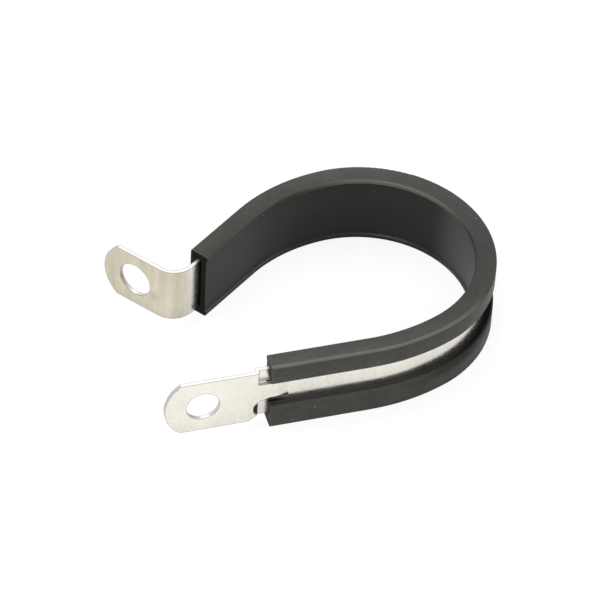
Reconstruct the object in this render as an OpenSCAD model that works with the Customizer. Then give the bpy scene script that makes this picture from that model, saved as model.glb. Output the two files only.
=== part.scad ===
// Rubber-lined P clip: a sprung sheet-steel strap with two drilled tabs,
// cushioned by a C-section rubber liner that wraps the edges of the strap.
// The clip lies on its side, resting on the lower edge of the liner. Its origin
// is on the axis of the round part of the loop, at the middle of the strap's
// width. The straight leg runs along X and the loop's axis along Z.

/* [Strap] */
// Width of the strap, along the axis of the loop
strap_w = 12; // [11:0.5:14]
// Thickness of the sheet
strap_t = 0.8; // [0.6:0.1:1]

/* [Loop] */
// Radius inside the liner's beads where the loop is round
bore_r = 21; // [16:0.5:30]
// Angle of the round part of the loop
bore_angle = 160.6; // [140:0.2:170]
// Radius of the easing curve between the straight leg and the round part
lead_r = 38.55; // [30:0.05:60]
// Angle of the easing curve after the straight leg
lead_angle = 23.8; // [15:0.2:30]
// Radius of the easing curve between the round part and the bent leg
tail_r = 32.55; // [26:0.05:60]
// Angle of the easing curve before the bent leg
tail_angle = 32.9; // [20:0.2:40]
// Length of the flat of the bent leg, from the easing curve to the bend
tail_flat = 17.55; // [12:0.05:24]

/* [Straight tab] */
// Distance from the hole in the straight tab to the start of the loop
lead_flat = 32.5; // [28:0.1:44]
// Diameter of the hole in the straight tab
front_hole_d = 6.4; // [5.3:0.1:7.5]
// Radius of the tab's rounded end, about the centre of its hole
tab_end_r = 7.4; // [6.8:0.1:9]
// How far the straight tab is set outward from the plane of the strap
tab_set = 0.6; // [0.4:0.05:1.2]
// Distance from the hole to the shoulders of the straight tab
shoulder_l = 10.6; // [10:0.1:10.8]
// Distance from the hole to the ends of the tongues below the shoulders
tongue_l = 10.9; // [10.8:0.1:12]
// Width of the neck that runs into the channel of the liner
neck_w = 3.6; // [2.6:0.1:4]
// Gap between the neck and the upper lip of the liner
neck_gap = 0.5; // [0.1:0.05:0.8]
// How much lower the neck reaches at the shoulders than in the channel
neck_flare = 0.7; // [0:0.1:1]
// Length over which the neck narrows from the shoulders
neck_taper_l = 2.4; // [0.5:0.1:3]
// Radius in the corner between the upper shoulder and the neck
neck_fillet = 0.3; // [0.1:0.05:0.6]
// Radius of the round notch between the lower shoulder and the neck
notch_r = 1.85; // [1.2:0.05:2.2]
// Distance from the shoulders to the middle of the round notch
notch_set = 1; // [0.6:0.1:1.1]
// Height of the trimmed corner at the lower shoulder
corner_trim_h = 1.35; // [0.6:0.05:1.6]
// Length of the trimmed corner at the lower shoulder
corner_trim_l = 1.7; // [0.8:0.1:2.5]
// How much the lower tongue is narrowed at its outer edge
tongue_trim = 0.6; // [0:0.1:1]
// Width of the cut between the neck and each tongue
slit_w = 0.05; // [0.02:0.01:0.3]
// Distance from the hole to where the neck begins to slope down
neck_flat_l = 14.2; // [13.7:0.1:16]
// Length of that slope, which ends in the plane of the strap
neck_step_l = 2.4; // [0.6:0.1:4]

/* [Bent tab] */
// Angle through which the second leg is bent outward
bend_angle = 89.3; // [70:0.1:110]
// Radius of that bend, to the middle of the sheet
bend_r = 4.15; // [3:0.05:7]
// Distance from the end of the bend to the hole in the bent tab
bent_flat = 5.7; // [5.6:0.1:10]
// Diameter of the hole in the bent tab
back_hole_d = 7.2; // [5.3:0.1:7.5]

/* [Liner] */
// Overall width of the liner, along the axis of the loop
liner_w = 15.3; // [14.8:0.1:18]
// Thickness of the layer inside the strap, between the beads
liner_inner_t = 1.05; // [0.8:0.05:2.5]
// How proud the beads along the edges of that layer are
bead_t = 0.3; // [0.1:0.05:0.6]
// Width of each bead, with the slope beside it
bead_w = 1.2; // [0.9:0.1:2]
// Thickness of the lips outside the strap
lip_t = 1.45; // [1:0.05:2.5]
// Width of the upper lip
upper_lip_w = 4.15; // [3:0.05:4.5]
// Width of the lower lip
lower_lip_w = 5.3; // [4:0.05:6]
// Gap between the strap and the slot at its edges and under the lips
slot_gap = 0.05; // [0.02:0.01:0.1]
// Gap between the strap and the inner side of the slot
slot_play = 0.4; // [0.1:0.05:0.6]
// Radius of the liner's edges on the outside of the loop
outer_edge_r = 0.4; // [0.2:0.05:0.9]
// Radius of the liner's edges on the inside of the loop
inner_edge_r = 0.4; // [0.2:0.05:0.6]
// Size of the bevel along the mouth of the channel
mouth_bevel = 0.2; // [0.1:0.05:0.6]
// Distance from the hole in the straight tab to the liner's end
liner_start = 12.9; // [12.3:0.1:14]
// Length of bare flat strap between the liner's end and the bend
liner_stop = 2.4; // [0.5:0.1:5]

/* [Hidden] */
$fn = 96;

// Half thicknesses, measured from the middle of the sheet
half_t = strap_t / 2;
inner_n = half_t + slot_play + liner_inner_t + bead_t;
outer_n = half_t + slot_gap + lip_t;
mid_z = liner_w / 2;

// Radius of the middle of the sheet in the round part of the loop
mid_r = bore_r + inner_n;

// A point at distance r from a centre, to the right of heading h
function right_of(centre, r, h) = centre + r * [sin(h), -cos(h)];
// A point at distance d from p along heading h
function ahead(p, d, h) = p + d * [cos(h), sin(h)];

// Headings of the middle line where its stretches meet
h_lead = lead_angle;
h_round = h_lead + bore_angle;
h_tail = h_round + tail_angle;
h_back = h_tail - bend_angle;

// Centres of the arcs and the points where the stretches meet, in plan
p_lead = right_of([0, 0], mid_r, h_lead);
c_lead = right_of(p_lead, -lead_r, h_lead);
p_front = right_of(c_lead, lead_r, 0);
front_hole = ahead(p_front, -lead_flat, 0);
p_round = right_of([0, 0], mid_r, h_round);
c_tail = right_of(p_round, -tail_r, h_round);
p_tail = right_of(c_tail, tail_r, h_tail);
p_bend = ahead(p_tail, tail_flat, h_tail);
c_bend = right_of(p_bend, bend_r, h_tail);
p_back = right_of(c_bend, -bend_r, h_back);

// The channel between the lips and the neck that runs into it, in height
channel_lo = lower_lip_w - mid_z;
channel_hi = mid_z - upper_lip_w;
neck_hi = channel_hi - neck_gap;
neck_lo = neck_hi - neck_w;
// Height of the lower edge of the neck at the shoulders
flare_lo = neck_lo - neck_flare;
// Distance from the hole to where the neck lies in the plane of the strap
neck_end_l = neck_flat_l + neck_step_l;

// The tongues are pressed inward, against the inner side of the slot
tongue_set = slot_play - slot_gap;

// Middle of the round notch, along the straight leg from the hole
notch_l = shoulder_l + notch_set;

// A small length by which joined pieces overlap
lap = 0.4;
// The bends are this much slimmer on every face than the stretches that they
// join, and end this far inside them, so that each joint is cleanly closed
slim = 0.01;
reach = 0.05;

// The angle that a length takes up along an arc
function turn(length, r) = length / r * 180 / PI;

// Sweeps of a section drawn with X toward the inside of the loop and Y up

module run_flat(start, h, len) {
    translate([start.x, start.y, 0])
        rotate([0, 0, h])
            rotate([90, 0, 90])
                linear_extrude(len)
                    children();
}

module run_left(centre, r, h, angle) {
    translate([centre.x, centre.y, 0])
        rotate([0, 0, h - 90])
            rotate_extrude(angle = angle)
                translate([r, 0])
                    mirror([1, 0])
                        children();
}

module run_right(centre, r, h, angle) {
    translate([centre.x, centre.y, 0])
        rotate([0, 0, h + 90 - angle])
            rotate_extrude(angle = angle)
                translate([r, 0])
                    children();
}

// The loop from the straight leg to the bent leg: the first child is the
// section of the flats and the round part, the second that of the easing curves
module loop(front_skip, back_skip) {
    run_flat(ahead(front_hole, front_skip, 0), 0, lead_flat - front_skip + reach)
        children(0);
    run_left(c_lead, lead_r, 0, lead_angle)
        children(1);
    run_left([0, 0], mid_r, h_lead - turn(reach, mid_r), bore_angle + 2 * turn(reach, mid_r))
        children(0);
    run_left(c_tail, tail_r, h_round, tail_angle)
        children(1);
    run_flat(ahead(p_tail, -reach, h_tail), h_tail, tail_flat - back_skip + reach)
        children(0);
}

// Strap

module strap_section(s) {
    translate([s - half_t, s - strap_w / 2])
        square([strap_t - 2 * s, strap_w - 2 * s]);
}

// A drawing with X from the hole toward the loop and Y up, made into sheet
module sheet() {
    rotate([90, 0, 0])
        translate([0, 0, -half_t])
            linear_extrude(strap_t)
                children();
}

// A drawing of the sheet's edge, seen from above, raised over a height
module fold(low, high) {
    translate([0, 0, low])
        linear_extrude(high - low)
            children();
}

// The rounded end of a tab, up to its hole
module tab_end() {
    intersection() {
        circle(tab_end_r);
        translate([-tab_end_r, -strap_w / 2])
            square([tab_end_r, strap_w]);
    }
}

// The small round in the corner between the upper shoulder and the neck
module neck_corner() {
    translate([shoulder_l, neck_hi])
        difference() {
            translate([-lap, -lap])
                square([neck_fillet + lap, neck_fillet + lap]);
            translate([neck_fillet, neck_fillet])
                circle(neck_fillet);
        }
}

module straight_tab_outline() {
    difference() {
        union() {
            tab_end();
            translate([0, -strap_w / 2])
                square([shoulder_l, strap_w]);
            polygon([
                [shoulder_l - lap, neck_hi],
                [shoulder_l - lap, flare_lo],
                [shoulder_l, flare_lo],
                [shoulder_l + neck_taper_l, neck_lo],
                [neck_flat_l, neck_lo],
                [neck_flat_l, neck_hi]
            ]);
            neck_corner();
        }
        circle(d = front_hole_d);
        translate([notch_l, flare_lo - notch_r])
            circle(notch_r);
        polygon([
            [shoulder_l - corner_trim_l, -strap_w / 2],
            [shoulder_l, -strap_w / 2 - lap],
            [shoulder_l + lap, corner_trim_h - strap_w / 2],
            [shoulder_l, corner_trim_h - strap_w / 2]
        ]);
    }
}

// A step in plan from one level to another, measured inward from the plane of
// the strap: it keeps the thickness of the sheet, so one face is bent a little
// before the other
module step_shape(start, end, from, to) {
    early = strap_t * tan(atan2(to - from, end - start) / 2);
    polygon([
        [start - early - lap, from - half_t],
        [start, from - half_t],
        [end, to - half_t],
        [end + lap, to - half_t],
        [end + lap, to + half_t],
        [end - early, to + half_t],
        [start - early, from + half_t],
        [start - early - lap, from + half_t]
    ]);
}

// A tongue beside the neck, with the step down from its shoulder and the
// gentler one by which it joins the strap inside the liner
module tongue(low, high, step_start) {
    fold(low, high) {
        step_shape(step_start, tongue_l, -tab_set, tongue_set);
        translate([tongue_l, tongue_set - half_t])
            square([neck_flat_l - tongue_l, strap_t]);
        step_shape(neck_flat_l, neck_end_l, tongue_set, 0);
    }
}

// The straight leg as far as the loop, with its hole at the origin
module straight_tab() {
    translate([0, -tab_set, 0])
        sheet()
            straight_tab_outline();
    fold(neck_lo, neck_hi)
        step_shape(neck_flat_l, neck_end_l, -tab_set, 0);
    tongue(tongue_trim - strap_w / 2, flare_lo - slit_w, notch_l - notch_r);
    tongue(neck_hi + slit_w, strap_w / 2, shoulder_l);
}

module bent_tab_outline() {
    difference() {
        union() {
            translate([-reach, -strap_w / 2])
                square([bent_flat + reach, strap_w]);
            translate([bent_flat, 0])
                mirror([1, 0])
                    tab_end();
        }
        translate([bent_flat, 0])
            circle(d = back_hole_d);
    }
}

module strap() {
    color("gainsboro") {
        translate([front_hole.x, front_hole.y, 0])
            straight_tab();
        loop(neck_end_l, -reach) {
            strap_section(0);
            strap_section(slim);
        }
        run_right(c_bend, bend_r, h_tail, bend_angle)
            strap_section(slim);
        translate([p_back.x, p_back.y, 0])
            rotate([0, 0, h_back])
                sheet()
                    bent_tab_outline();
    }
}

// Liner

// A rectangle from corner a to corner b with its corners rounded by r0 on
// the low X side and by r1 on the high X side
module rounded_box(a, b, r0, r1) {
    translate([a.x + r0, a.y])
        square([b.x - a.x - r0 - r1, b.y - a.y]);
    for (side = [[a.x, r0, r0], [b.x - r1, r1, 0]]) {
        translate([side[0], a.y + side[1]])
            square([side[1], b.y - a.y - 2 * side[1]]);
        for (y = [a.y + side[1], b.y - side[1]])
            translate([side[0] + side[2], y])
                circle(side[1]);
    }
}

// The section, with every face drawn in by s
module liner_section(s) {
    slot_lo = -half_t - slot_gap - s;
    slot_hi = half_t + slot_play + s;
    slot_z = strap_w / 2 + slot_gap + s;
    lo = channel_lo - s;
    hi = channel_hi + s;
    lip_n = s - outer_n;
    bead_n = inner_n - s;
    bead_z = mid_z - bead_w + s;
    difference() {
        rounded_box([lip_n, s - mid_z], [bead_n, mid_z - s],
                    outer_edge_r - s, inner_edge_r - s);
        translate([slot_lo, -slot_z])
            square([slot_hi - slot_lo, 2 * slot_z]);
        polygon([
            [0, lo],
            [0, hi],
            [lip_n + mouth_bevel, hi],
            [lip_n - lap, hi + mouth_bevel + lap],
            [lip_n - lap, lo - mouth_bevel - lap],
            [lip_n + mouth_bevel, lo]
        ]);
        polygon([
            [bead_n + lap, -bead_z - bead_t - lap],
            [bead_n - bead_t, -bead_z],
            [bead_n - bead_t, bead_z],
            [bead_n + lap, bead_z + bead_t + lap]
        ]);
    }
}

module liner() {
    color("dimgray")
        loop(liner_start, liner_stop) {
            liner_section(0);
            liner_section(slim);
        }
}

strap();
liner();
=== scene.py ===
import math
from collections import namedtuple

import bpy
from mathutils import Matrix, Vector


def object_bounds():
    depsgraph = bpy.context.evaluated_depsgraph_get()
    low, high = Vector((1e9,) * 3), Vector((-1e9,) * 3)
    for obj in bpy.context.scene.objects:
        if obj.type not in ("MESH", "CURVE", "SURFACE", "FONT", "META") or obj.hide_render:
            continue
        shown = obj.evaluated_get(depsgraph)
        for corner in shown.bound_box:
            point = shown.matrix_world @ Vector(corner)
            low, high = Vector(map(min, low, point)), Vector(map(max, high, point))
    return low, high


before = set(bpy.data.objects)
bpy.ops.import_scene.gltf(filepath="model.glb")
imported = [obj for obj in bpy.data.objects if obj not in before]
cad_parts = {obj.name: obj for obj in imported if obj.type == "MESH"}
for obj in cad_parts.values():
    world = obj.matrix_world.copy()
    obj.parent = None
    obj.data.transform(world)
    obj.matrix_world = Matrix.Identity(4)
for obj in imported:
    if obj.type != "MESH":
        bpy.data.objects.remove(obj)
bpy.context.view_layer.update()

# The frame is in metres. Sizes and places on the clip are written in mm.
MM = 0.001
X, Y, Z = (1, 0, 0), (0, 1, 0), (0, 0, 1)


def grey(level):
    return (level, level, level)


BLACK, WHITE = grey(0.0), grey(1.0)

# The camera as fitted to the photograph: a long lens, its place in mm, and its
# azimuth, elevation and roll in degrees
SENSOR_WIDTH = 36
FOCAL_LENGTH = 257.46
CLIP_START, CLIP_END = 0.01, 10
CAMERA_PLACE = (-197.76, -569.14, 562.29)
CAMERA_ANGLES = (-18.013, 43.308, 3.221)

# The middle line of the strap in plan, as in the part's source, in mm and
# degrees: a straight leg along X, an easing curve, the round part about the
# origin, an easing curve, the bent leg, the bend and the bent tab
LEAD_R, LEAD_ANGLE = 38.55, 23.8
ROUND_R, ROUND_ANGLE = 23.15, 160.6
TAIL_R, TAIL_ANGLE = 32.55, 32.9
BENT_LEG = 17.55
BEND_R, BEND_ANGLE = 4.15, 89.3
# A straight stretch counts as an arc of this radius
STRAIGHT_R = 1000

# The liner's section: half its width, and about how far its inner and outer
# faces are outward from the middle line
HALF_WIDTH = 7.65
INNER_FACE, OUTER_FACE = -2.2, 1.9

BEVEL_SAMPLES = 8
# Where the darkest and palest colours of a cloud are in its noise
NOISE_DARK, NOISE_PALE = 0.3, 0.7

# Steel, where a pair runs from the darkest to the palest, or from the smoothest
# to the roughest
PLATING = (0.95, 0.91, 0.82), (0.99, 0.97, 0.90)
# The bent tab's plating, darkened as painted shade for the shaded floor that it reflects
SHADED_TAB_PLATING = (0.71, 0.68, 0.59), (0.81, 0.785, 0.70)
CUT_METAL = (0.50, 0.48, 0.46), (0.70, 0.68, 0.65)
# Dark lines along the edges of the sheet
EDGE_LINE_COLOUR = (0.22, 0.19, 0.16)
STEEL_ROUGHNESS = grey(0.17), grey(0.27)
CUT_ROUGHNESS = grey(0.42)
# The painted shade on the bent tab begins and is in full at these places along X, on the
# back half of the clip
TAB_SHADE_X = (-32, -35)
# A dark mark on the bent tab: its place, and at what distances from there it
# begins and is in full
MARK_PLACE = (-39.4, 7.5, -1.6)
MARK_R = (1.6, 0.3)
MARK_COLOUR = (0.30, 0.27, 0.20)
# A cut edge is where the metal doesn't face squarely outward or inward: where
# it begins and is in full
CUT_FACING = (0.75, 0.35)

# Rubber, with pairs as for the steel
OLIVE_BLACK = (0.032, 0.031, 0.0255), (0.046, 0.045, 0.037)
# The painted highlight on the liner's rounded edges
EDGE_HIGHLIGHT_COLOUR = (0.15, 0.15, 0.13)
DUST_COLOUR = (0.45, 0.44, 0.38)
RUBBER_ROUGHNESS = grey(0.40), grey(0.54)
INSIDE_ROUGHNESS = grey(0.36)
RUBBER_GLOSS, LEAST_GLOSS = 0.36, 0.05
MOUTH_GLOSS_LOSS, INSIDE_GLOSS_LOSS, END_GLOSS_LOSS = 0.24, 0.08, 0.2
# Painted light and shade over the liner's width: how pale it is, from the lower edge at 0
# to the upper edge at 1
LIGHT_AND_SHADE_BY_HEIGHT = (0.0, 1.1), (0.34, 0.8), (0.73, 1.18), (0.96, 0.85), (0.99, 1.0)
# Painted light and shade for the sheen: how pale it is where the loop faces the front or
# the back, and where it faces a side
FRONT_SHEEN_LEVEL, SIDE_SHADE_LEVEL = 1.15, 0.5
# Painted shade: how pale it is at its inner face and at its outer face
INNER_SHADE_LEVEL, OUTER_LIGHT_LEVEL = 0.85, 1.2
# The painted shade inside the loop and in the channel, by distance outward from the middle
# line and by height up or down: where it begins and is in full
INSIDE_SHADE_DISTANCE, INSIDE_SHADE_HEIGHT = (1.65, 1.45), (7.4, 7.1)
# The painted shade at the mouth of the channel on the right, with the top of the lower
# lip, in the same way, and by how far it lies in a direction
MOUTH_DISTANCE, MOUTH_HEIGHT = (0.0, 0.5), (-5.5, -3.2)
MOUTH_TOWARD, MOUTH_REACH = (1, -0.3, 0), (6, 20)
# A cut end faces along the strip, so it faces neither of the other two ways
END_FACING = (0.6, 0.2)
# A speck of dust in one of these cells: where it begins and is in full
DUST_CELLS = 220.0
SPECK_R = (0.035, 0.02)

# A patch of painted light on the liner, in another colour: its distance outward from the
# middle line, its height, and how squarely the loop faces a direction there, each as where
# the patch begins and is in full, then how much of the colour it takes
Patch = namedtuple("Patch", "distance height toward facing amount colour")
# A painted highlight on the upper outer rim of the straight leg
RIM_HIGHLIGHT = Patch(
    distance=(0.9, 1.5),
    height=(7.3, 7.55),
    toward=(0, -1, 0),
    facing=(0.6, 1.0),
    amount=0.6,
    colour=(0.16, 0.16, 0.14),
)
# A painted highlight on the upper bead at the back of the loop
BEAD_HIGHLIGHT = Patch(
    distance=(-1.8, -2.1),
    height=(6.4, 6.9),
    toward=(0.55, 0.83, 0),
    facing=(0.55, 1.0),
    amount=0.8,
    colour=(0.17, 0.17, 0.15),
)
# A painted reflection on the inner face on the right of the loop
INNER_RIGHT_GLINT = Patch(
    distance=(-1.2, -1.7),
    height=(7.3, 6.9),
    toward=(1, 0.1, 0),
    facing=(0.88, 1.0),
    amount=0.7,
    colour=(0.075, 0.075, 0.068),
)

# The floor's size and its distance below the clip, in metres
FLOOR_HALF_SIZE = 3.0
FLOOR_GAP = 0.00002
# The grey of the light that the room and the floor give
ROOM_LIGHT = grey(0.3)
FLOOR_LIGHT = grey(0.8)
# The parts of the floor's white that glow and that take a shadow: the shadow is
# faint to the camera and full in reflections
CAMERA_GLOW, CAMERA_SHADED = grey(0.86), grey(0.2)
MIRROR_GLOW, MIRROR_SHADED = grey(0.2), grey(0.8)

# Soft boxes that face the origin: place and size in metres, power in watts
SOFTBOXES = {
    "above": ((-0.1, 0.3, 0.8), (0.8, 0.6), 3.9),
    "right": ((0.7, -0.2, 0.35), (0.4, 0.4), 2.0),
    "front": ((-0.5, -0.6, 0.45), (0.5, 0.4), 2.8),
}


def add_object(name, data):
    thing = bpy.data.objects.new(name, data)
    bpy.context.scene.collection.objects.link(thing)
    return thing


def add_camera():
    lens = bpy.data.cameras.new("camera")
    lens.sensor_width = SENSOR_WIDTH
    lens.lens = FOCAL_LENGTH
    lens.clip_start, lens.clip_end = CLIP_START, CLIP_END
    az, el, roll = (math.radians(angle) for angle in CAMERA_ANGLES)
    level = Vector((math.cos(az), math.sin(az), 0))
    ahead = Vector((
        -math.sin(az) * math.cos(el),
        math.cos(az) * math.cos(el),
        -math.sin(el),
    ))
    above = level.cross(ahead)
    right = level * math.cos(roll) + above * math.sin(roll)
    up = above * math.cos(roll) - level * math.sin(roll)
    turn = Matrix((right, up, -ahead)).transposed().to_4x4()
    camera = add_object("camera", lens)
    camera.matrix_world = Matrix.Translation(Vector(CAMERA_PLACE) * MM) @ turn
    bpy.context.scene.camera = camera


# Helpers for the nodes of a material or world. A value is a number, a tuple or
# an output of another node.
class Tree:
    def __init__(self, owner):
        owner.use_nodes = True
        self.tree = owner.node_tree
        self.tree.nodes.clear()

    def add(self, kind, **values):
        node = self.tree.nodes.new(kind)
        for key, value in values.items():
            setattr(node, key, value)
        return node

    def put(self, sockets, values):
        for socket, value in zip(sockets, values):
            if isinstance(value, tuple) and socket.type == "RGBA":
                socket.default_value = (*value, 1)
            elif isinstance(value, (int, float, tuple)):
                socket.default_value = value
            else:
                self.tree.links.new(value, socket)

    # Fills a node's inputs, named with _ for each space, and returns the node
    def give(self, node, **values):
        names = [name.replace("_", " ") for name in values]
        self.put([node.inputs[name] for name in names], values.values())
        return node

    def math(self, kind, *values):
        node = self.add("ShaderNodeMath", operation=kind)
        self.put(node.inputs, values)
        return node.outputs[0]

    def size(self, value):
        return self.math("ABSOLUTE", value)

    def product(self, first, *others):
        for other in others:
            first = self.math("MULTIPLY", first, other)
        return first

    # The first value less all the others
    def less(self, first, *others):
        for other in others:
            first = self.math("SUBTRACT", first, other)
        return first

    def vector(self, kind, *values):
        node = self.add("ShaderNodeVectorMath", operation=kind)
        self.put(node.inputs, values)
        return node.outputs["Value" if kind in ("LENGTH", "DOT_PRODUCT") else "Vector"]

    def dot(self, a, b):
        return self.vector("DOT_PRODUCT", a, b)

    # The place on the clip, in metres or in mm
    def place(self):
        return self.add("ShaderNodeTexCoord").outputs["Object"]

    def place_mm(self):
        return self.vector("MULTIPLY", self.place(), grey(1 / MM))

    def normal(self):
        return self.add("ShaderNodeTexCoord").outputs["Normal"]

    def noise(self, scale, detail, rough, stretch=(1, 1, 1), at=None):
        at = self.vector("MULTIPLY", at or self.place(), stretch)
        node = self.add("ShaderNodeTexNoise")
        self.give(node, Vector=at, Scale=scale, Detail=detail, Roughness=rough)
        return node.outputs["Fac"]

    # Each stop is a value of the source and the colour that it gets
    def ramp(self, source, *stops):
        node = self.add("ShaderNodeValToRGB")
        ends = node.color_ramp.elements
        while len(ends) < len(stops):
            ends.new(0.5)
        for end, (at, colour) in zip(ends, stops):
            end.position = at
            end.color = (*colour, 1)
        self.give(node, Fac=source)
        return node.outputs["Color"]

    # A noise as a cloud of two colours
    def cloud(self, noise, colours):
        return self.ramp(noise, *zip((NOISE_DARK, NOISE_PALE), colours))

    def mix(self, amount, a, b, blend="MIX"):
        node = self.add("ShaderNodeMix", data_type="RGBA", blend_type=blend)
        factor, first, second = node.inputs[0], node.inputs[6], node.inputs[7]
        self.put((factor, first, second), (amount, a, b))
        return node.outputs[2]

    def multiply(self, a, b, amount=1.0):
        return self.mix(amount, a, b, "MULTIPLY")

    # A colour laid over another one where a mask is 1
    def cover(self, under, mask, over, amount):
        return self.mix(self.product(mask, amount), under, over)

    # A colour made darker and paler by a source. Each stop is a value of the
    # source and the level that it gets.
    def vary(self, colour, source, *stops, amount=1.0):
        levels = [(at, grey(level)) for at, level in stops]
        return self.multiply(colour, self.ramp(source, *levels), amount)

    # The second of two vectors where a value is 1, and the first where it is 0
    def choose(self, value, a, b):
        node = self.add("ShaderNodeMix", data_type="VECTOR")
        factor, first, second = node.inputs[0], node.inputs[4], node.inputs[5]
        self.put((factor, first, second), (value, a, b))
        return node.outputs[1]

    # 0 at one value and 1 at another, with a rise between them
    def rise(self, value, low, high, kind="SMOOTHSTEP"):
        node = self.add("ShaderNodeMapRange", interpolation_type=kind)
        self.give(node, Value=value, From_Min=low, From_Max=high)
        return node.outputs["Result"]

    # The normal where edges are rounded by a radius in mm
    def rounded(self, radius):
        node = self.add("ShaderNodeBevel", samples=BEVEL_SAMPLES)
        self.give(node, Radius=radius * MM)
        return node.outputs[0]

    # 1 on edges and 0 on flat faces
    def edges(self, radius, low, high):
        normal = self.add("ShaderNodeNewGeometry").outputs["Normal"]
        turn = self.less(1.0, self.dot(self.rounded(radius), normal))
        return self.rise(turn, low, high)


# The point at a distance from another one, to the right of a heading
def right_of(point, distance, heading):
    h = math.radians(heading)
    return point[0] + distance * math.sin(h), point[1] - distance * math.cos(h)


# The point at a distance from another one, along a heading
def ahead_of(point, distance, heading):
    h = math.radians(heading)
    return point[0] + distance * math.cos(h), point[1] + distance * math.sin(h)


# A stretch of the middle line: where it begins, its heading there, and the
# centre and radius of its arc
Stretch = namedtuple("Stretch", "start heading arc")


def curve(start, heading, centre, radius):
    return Stretch(start, heading, (*centre, radius))


# A straight stretch, with the centre of its wide arc on the left or right
def straight(start, heading, side):
    return curve(start, heading, right_of(start, side * STRAIGHT_R, heading), STRAIGHT_R)


# The stretches in the front half of the loop and those in the back half
def middle_line():
    round_heading = LEAD_ANGLE + ROUND_ANGLE
    tail_heading = round_heading + TAIL_ANGLE
    tab_heading = tail_heading - BEND_ANGLE

    origin = (0, 0)
    round_start = right_of(origin, ROUND_R, LEAD_ANGLE)
    lead_centre = right_of(round_start, -LEAD_R, LEAD_ANGLE)
    lead_start = right_of(lead_centre, LEAD_R, 0)
    tail_start = right_of(origin, ROUND_R, round_heading)
    tail_centre = right_of(tail_start, -TAIL_R, round_heading)
    leg_start = right_of(tail_centre, TAIL_R, tail_heading)
    bend_start = ahead_of(leg_start, BENT_LEG, tail_heading)
    bend_centre = right_of(bend_start, BEND_R, tail_heading)
    tab_start = right_of(bend_centre, -BEND_R, tab_heading)

    left, right = -1, 1
    round_part = curve(round_start, LEAD_ANGLE, origin, ROUND_R)
    front = [
        straight(lead_start, 0, left),
        curve(lead_start, 0, lead_centre, LEAD_R),
        round_part,
    ]
    back = [
        round_part,
        curve(tail_start, round_heading, tail_centre, TAIL_R),
        straight(leg_start, tail_heading, left),
        curve(bend_start, tail_heading, bend_centre, BEND_R),
        straight(tab_start, tab_heading, right),
    ]
    return front, back


# The arc of the last stretch that a point in plan has reached
def arc_at(t, point, stretches):
    arc = stretches[0].arc
    for stretch in stretches[1:]:
        way = t.vector("SUBTRACT", point, (*stretch.start, 0))
        along = t.dot(way, (*ahead_of((0, 0), 1, stretch.heading), 0))
        arc = t.choose(t.math("GREATER_THAN", along, 0.0), arc, stretch.arc)
    return arc


# The distance from the middle line in mm, and the direction square to it in
# plan. Both are outward from the loop, and the other way from the bend on.
def across(t):
    point = t.vector("MULTIPLY", t.place(), (1 / MM, 1 / MM, 0))
    front, back = (arc_at(t, point, stretches) for stretches in middle_line())
    arc = t.choose(t.math("GREATER_THAN", t.dot(point, Y), 0.0), front, back)
    spoke = t.vector("MULTIPLY", t.vector("SUBTRACT", point, arc), (1, 1, 0))
    distance = t.less(t.vector("LENGTH", spoke), t.dot(arc, Z))
    return distance, t.vector("NORMALIZE", spoke)


# A noise drawn out along the strip: its place is the distance from the middle
# line, the height, and a slow measure of the way along, in mm
def draw_lines(t, distance, scale, slow):
    row = t.add("ShaderNodeCombineXYZ")
    height = t.dot(t.place(), (0, 0, 1 / MM))
    along = t.dot(t.place(), (slow / MM, -slow / MM, 0))
    t.give(row, X=distance, Y=height, Z=along)
    return t.noise(scale, detail=4, rough=0.6, at=row.outputs[0])


# A material with a plain skin
def add_material(name):
    material = bpy.data.materials.new(name)
    t = Tree(material)
    out = t.add("ShaderNodeOutputMaterial")
    skin = t.add("ShaderNodeBsdfPrincipled")
    t.give(out, Surface=skin.outputs[0])
    return material, t, skin


# Fine relief on a skin with rounded edges: depth and radius are in mm
def add_relief(t, skin, pattern, strength, depth, radius):
    bump = t.add("ShaderNodeBump")
    t.give(bump, Strength=strength, Distance=depth * MM)
    t.give(bump, Height=pattern, Normal=t.rounded(radius))
    t.give(skin, Normal=bump.outputs[0])


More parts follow.
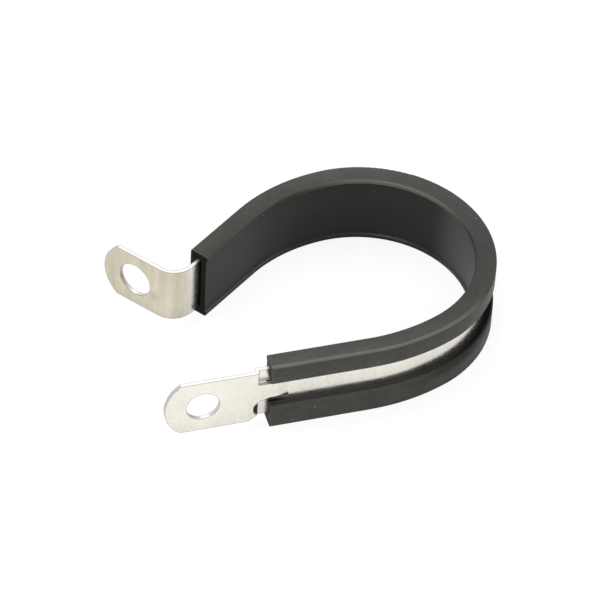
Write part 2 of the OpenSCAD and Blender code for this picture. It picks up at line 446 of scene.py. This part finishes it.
# Thinly plated sheet steel, bright and slightly warm
def steel():
    material, t, skin = add_material("steel")
    distance, spoke = across(t)
    place = t.place_mm()

    # Cloudy plating with handling marks and a fine grain
    clouds = t.noise(scale=140, detail=4, rough=0.55)
    tint = t.cloud(clouds, PLATING)
    smears = t.noise(scale=420, detail=3, rough=0.6, stretch=(1, 1, 0.35))
    tint = t.vary(tint, smears, (0.35, 0.75), (0.62, 1.0), amount=0.25)
    grain = t.noise(scale=2600, detail=2, rough=0.6)
    tint = t.vary(tint, grain, (0.35, 0.92), (0.65, 1.0))

    # Painted shade: the bent tab is darker, for the shaded floor it reflects, with painted
    # reflection streaks across it and one dark mark
    on_back = t.math("GREATER_THAN", t.dot(place, Y), 0.0)
    bent = t.product(t.rise(t.dot(place, X), *TAB_SHADE_X), on_back)
    tab_shade = t.cloud(t.noise(scale=170, detail=3, rough=0.55), SHADED_TAB_PLATING)
    reflection_streaks = t.noise(scale=600, detail=3, rough=0.6, stretch=(1, 1, 0.06))
    tab_shade = t.vary(tab_shade, reflection_streaks, (0.3, 0.88), (0.7, 1.06))
    from_mark = t.vector("LENGTH", t.vector("SUBTRACT", place, MARK_PLACE))
    tab_shade = t.cover(tab_shade, t.rise(from_mark, *MARK_R), MARK_COLOUR, amount=0.3)
    tint = t.mix(bent, tint, t.multiply(tint, tab_shade))

    # The cut edges are greyer and rougher than the faces, with dark lines along the edges
    cut = t.rise(t.size(t.dot(t.normal(), spoke)), *CUT_FACING)
    tint = t.mix(cut, tint, t.mix(clouds, *CUT_METAL))
    dark_edge_lines = t.edges(radius=0.3, low=0.01, high=0.12)
    tint = t.cover(tint, dark_edge_lines, EDGE_LINE_COLOUR, amount=0.8)
    rough = t.cloud(t.noise(scale=700, detail=4, rough=0.6), STEEL_ROUGHNESS)
    rough = t.mix(cut, rough, CUT_ROUGHNESS)
    t.give(skin, Metallic=1.0, Base_Color=tint, Roughness=rough)

    # The faint lines that rolling leaves
    lines = t.mix(0.5, draw_lines(t, distance, scale=3.0, slow=0.04), grain)
    add_relief(t, skin, lines, strength=0.14, depth=0.02, radius=0.12)
    return material


# Extruded rubber, near black and slightly olive
def rubber():
    material, t, skin = add_material("rubber")
    distance, spoke = across(t)
    place = t.place_mm()
    height = t.dot(place, Z)
    normal = t.normal()

    def paint(tint, patch):
        mask = t.product(
            t.rise(distance, *patch.distance),
            t.rise(height, *patch.height),
            t.rise(t.dot(spoke, patch.toward), *patch.facing),
        )
        return t.cover(tint, mask, patch.colour, patch.amount)

    # Clouds, draw lines along the strip, and mottling
    tint = t.cloud(t.noise(scale=160, detail=4, rough=0.6), OLIVE_BLACK)
    lines = draw_lines(t, distance, scale=5.0, slow=0.03)
    tint = t.vary(tint, lines, (0.35, 0.55), (0.65, 1.1), amount=0.45)
    mottling = t.noise(scale=1100, detail=4, rough=0.7)
    tint = t.vary(tint, mottling, (0.35, 0.6), (0.65, 1.25), amount=0.5)

    # Painted light and shade: paler where the loop faces the front or the back, darker
    # where it faces a side, and darker on the inner face than on the outer face
    sideways = t.size(t.dot(spoke, X))
    level = t.mix(sideways, grey(FRONT_SHEEN_LEVEL), grey(SIDE_SHADE_LEVEL))
    tint = t.multiply(tint, level)
    outward = t.rise(distance, INNER_FACE, OUTER_FACE)
    level = t.mix(outward, grey(INNER_SHADE_LEVEL), grey(OUTER_LIGHT_LEVEL))
    tint = t.multiply(tint, level)

    # Painted highlights on the edges and on the rim, and painted light and shade over the
    # height of the lips
    edge_highlight = t.edges(radius=0.6, low=0.005, high=0.1)
    tint = t.cover(tint, edge_highlight, EDGE_HIGHLIGHT_COLOUR, amount=0.45)
    tint = paint(tint, RIM_HIGHLIGHT)
    width = t.rise(height, -HALF_WIDTH, HALF_WIDTH, "LINEAR")
    tint = t.vary(tint, width, *LIGHT_AND_SHADE_BY_HEIGHT)

    # Painted shade inside the loop and in the channel, then painted highlights on the bead
    # at the back and on the inner face on the right
    inside = t.product(
        t.rise(distance, *INSIDE_SHADE_DISTANCE),
        t.rise(t.size(height), *INSIDE_SHADE_HEIGHT),
    )
    tint = t.cover(tint, inside, BLACK, amount=0.65)
    tint = paint(tint, BEAD_HIGHLIGHT)
    tint = paint(tint, INNER_RIGHT_GLINT)

    # Painted shade, darkest at the mouth of the channel on the right, and dark at the cut
    # ends
    mouth = t.product(
        t.rise(t.dot(place, MOUTH_TOWARD), *MOUTH_REACH),
        t.rise(height, *MOUTH_HEIGHT),
        t.math("LESS_THAN", height, 0.0),
        t.rise(distance, *MOUTH_DISTANCE),
    )
    tint = t.cover(tint, mouth, BLACK, amount=0.6)
    # The cut ends get painted shade
    across_strip, upright = t.size(t.dot(normal, spoke)), t.size(t.dot(normal, Z))
    end = t.rise(t.math("ADD", across_strip, upright), *END_FACING)
    tint = t.cover(tint, end, BLACK, amount=0.75)

    # A few specks of dust
    cells = t.give(t.add("ShaderNodeTexVoronoi"), Vector=t.place(), Scale=DUST_CELLS)
    specks = t.rise(cells.outputs["Distance"], *SPECK_R)
    tint = t.mix(specks, tint, DUST_COLOUR)

    rough = t.cloud(t.noise(scale=600, detail=4, rough=0.6), RUBBER_ROUGHNESS)
    rough = t.mix(inside, rough, INSIDE_ROUGHNESS)
    gloss = t.less(
        RUBBER_GLOSS,
        t.product(mouth, MOUTH_GLOSS_LOSS),
        t.product(inside, INSIDE_GLOSS_LOSS),
        t.product(end, END_GLOSS_LOSS),
    )
    gloss = t.math("MAXIMUM", gloss, LEAST_GLOSS)
    t.give(skin, Base_Color=tint, Roughness=rough, Specular_IOR_Level=gloss)

    # Highlights drawn out along the strip, and a fine relief
    t.give(skin, Anisotropic=0.6, Tangent=t.vector("ADD", spoke, Z))
    relief = t.mix(0.5, t.noise(scale=2400, detail=4, rough=0.65), lines)
    add_relief(t, skin, relief, strength=0.4, depth=0.05, radius=0.2)
    return material


def dress(name, material):
    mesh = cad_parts[name].data
    mesh.materials.clear()
    mesh.materials.append(material)


# One shader where it is seen or reflected, and another for the light it gives
def seen_or_lit(t, seen, lit):
    path = t.add("ShaderNodeLightPath").outputs
    shown = t.math("MAXIMUM", path["Is Camera Ray"], path["Is Glossy Ray"])
    shown = t.math("MAXIMUM", shown, path["Is Transmission Ray"])
    either = t.add("ShaderNodeMixShader")
    t.put(either.inputs, (shown, lit.outputs[0], seen.outputs[0]))
    return either.outputs[0]


# A plain white room
def add_room():
    world = bpy.data.worlds.new("room")
    bpy.context.scene.world = world
    t = Tree(world)
    out = t.add("ShaderNodeOutputWorld")
    seen = t.give(t.add("ShaderNodeBackground"), Color=WHITE)
    lit = t.give(t.add("ShaderNodeBackground"), Color=ROOM_LIGHT)
    t.give(out, Surface=seen_or_lit(t, seen, lit))


# A plain white floor that keeps the clip's shadow
def add_floor():
    material = bpy.data.materials.new("floor")
    t = Tree(material)
    out = t.add("ShaderNodeOutputMaterial")
    lit = t.give(t.add("ShaderNodeBsdfDiffuse"), Color=FLOOR_LIGHT)
    to_camera = t.add("ShaderNodeLightPath").outputs["Is Camera Ray"]
    glow = t.mix(to_camera, MIRROR_GLOW, CAMERA_GLOW)
    shaded = t.mix(to_camera, MIRROR_SHADED, CAMERA_SHADED)
    glowing = t.give(t.add("ShaderNodeEmission"), Color=glow)
    taking_shadow = t.give(t.add("ShaderNodeBsdfDiffuse"), Color=shaded)
    seen = t.add("ShaderNodeAddShader")
    t.put(seen.inputs, (glowing.outputs[0], taking_shadow.outputs[0]))
    t.give(out, Surface=seen_or_lit(t, seen, lit))

    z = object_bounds()[0].z - FLOOR_GAP
    half = FLOOR_HALF_SIZE
    corners = [(-half, -half, z), (half, -half, z), (half, half, z), (-half, half, z)]
    mesh = bpy.data.meshes.new("floor")
    mesh.from_pydata(corners, [], [(0, 1, 2, 3)])
    mesh.materials.append(material)
    plane = add_object("floor", mesh)


def add_softbox(name, place, size, power):
    lamp = bpy.data.lights.new(name, "AREA")
    lamp.shape = "RECTANGLE"
    lamp.size, lamp.size_y = size
    lamp.energy = power
    light = add_object(name, lamp)
    light.location = place
    light.rotation_mode = "QUATERNION"
    light.rotation_quaternion = Vector(place).to_track_quat("Z", "Y")


add_camera()
dress("strap", steel())
dress("liner", rubber())
add_room()
add_floor()
for name, (place, size, power) in SOFTBOXES.items():
    add_softbox(name, place, size, power)

scene = bpy.context.scene
scene.view_settings.view_transform = "Standard"
